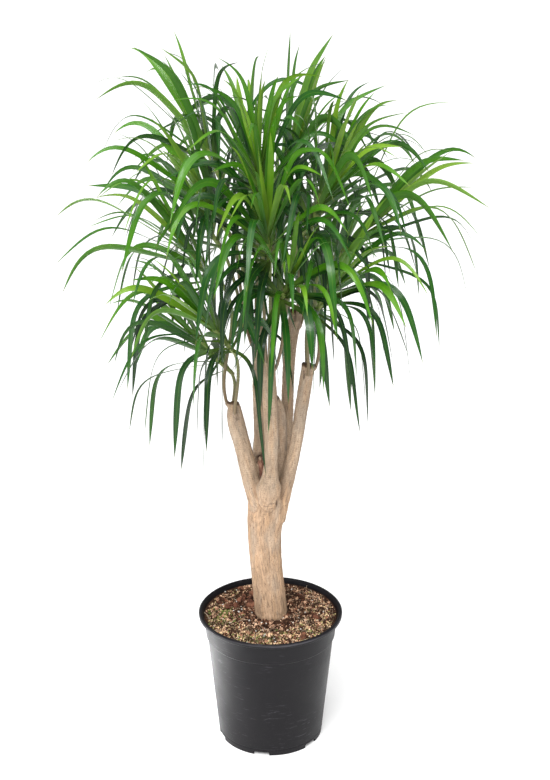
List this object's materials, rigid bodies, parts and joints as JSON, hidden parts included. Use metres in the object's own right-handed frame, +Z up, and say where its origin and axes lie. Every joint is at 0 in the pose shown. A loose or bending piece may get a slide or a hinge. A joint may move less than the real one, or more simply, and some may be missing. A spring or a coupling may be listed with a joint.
{
  "type": "potted dracaena",
  "caption": "Potted dracaena: a plastic nursery pot of soil, a trunk that forks into cut canes, and leafy shoots with arching strap leaves.",
  "frame": {"origin": "centre of the pot's underside, on the floor that it stands on", "axes": "+Z up along the pot's axis; the plant's best side, the one in the picture, faces -Y, with +X to its right"},
  "size_m": [0.7547, 0.71, 1.3631],
  "materials": {
    "pot_plastic": "matte charcoal moulded polypropylene with a faint bloom",
    "soil": "loose peat with bark chips, perlite, fibres and patches of moss",
    "bark": "pale tan bark with fine upright fissures and faint rings, dark cut ends",
    "leaf": "smooth satin green leaf, lighter at the base and towards the young centre"
  },
  "bodies": {
    "root": {"pot": "pot_plastic", "soil": "soil", "trunk": "bark", "shoot_01": "leaf", "shoot_02": "leaf", "shoot_03": "leaf", "shoot_04": "leaf", "shoot_05": "leaf", "shoot_06": "leaf", "shoot_07": "leaf", "shoot_08": "leaf", "shoot_09": "leaf", "shoot_10": "leaf", "shoot_11": "leaf", "shoot_12": "leaf", "shoot_13": "leaf", "shoot_14": "leaf", "shoot_15": "leaf", "shoot_16": "leaf", "shoot_17": "leaf", "shoot_18": "leaf"}
  },
  "joints": []
}
